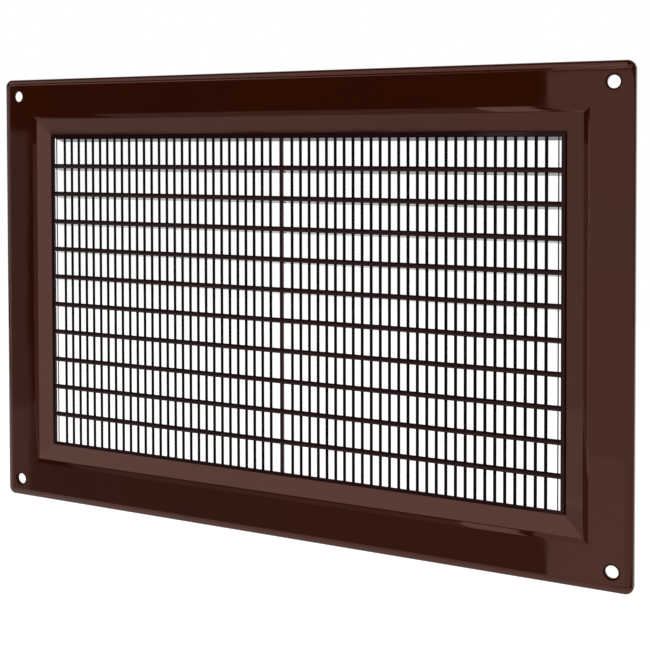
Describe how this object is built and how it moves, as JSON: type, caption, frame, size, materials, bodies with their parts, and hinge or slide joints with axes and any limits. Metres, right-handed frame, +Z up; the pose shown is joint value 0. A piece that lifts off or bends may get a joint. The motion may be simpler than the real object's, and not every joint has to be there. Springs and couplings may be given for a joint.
{
  "type": "ventilation grille",
  "caption": "Rectangular wall ventilation grille in dark brown gloss plastic with a bevelled surround, corner screw holes and a fine see-through grid of slats and upright bars.",
  "frame": {"origin": "middle of the four screw holes, in the plane of the flange's rear face, where the holes end; the wall plane is 1.5 mm behind it", "axes": "+X along the grille's length, to the right seen from the front; +Y into the wall, so the front faces -Y; +Z up"},
  "size_m": [0.3, 0.009, 0.2],
  "materials": {
    "frame_plastic": "glossy moulded, dark brown",
    "grid_plastic": "glossy moulded, darker brown",
    "bar_plastic": "moulded, near black"
  },
  "bodies": {
    "root": {"front_frame": "frame_plastic", "grid_border": "grid_plastic", "centre_stile": "grid_plastic", "left_bar_comb": "bar_plastic", "right_bar_comb": "bar_plastic", "slat_01": "grid_plastic", "slat_02": "grid_plastic", "slat_03": "grid_plastic", "slat_04": "grid_plastic", "slat_05": "grid_plastic", "slat_06": "grid_plastic", "slat_07": "grid_plastic", "slat_08": "grid_plastic", "slat_09": "grid_plastic", "slat_10": "grid_plastic"}
  },
  "joints": []
}
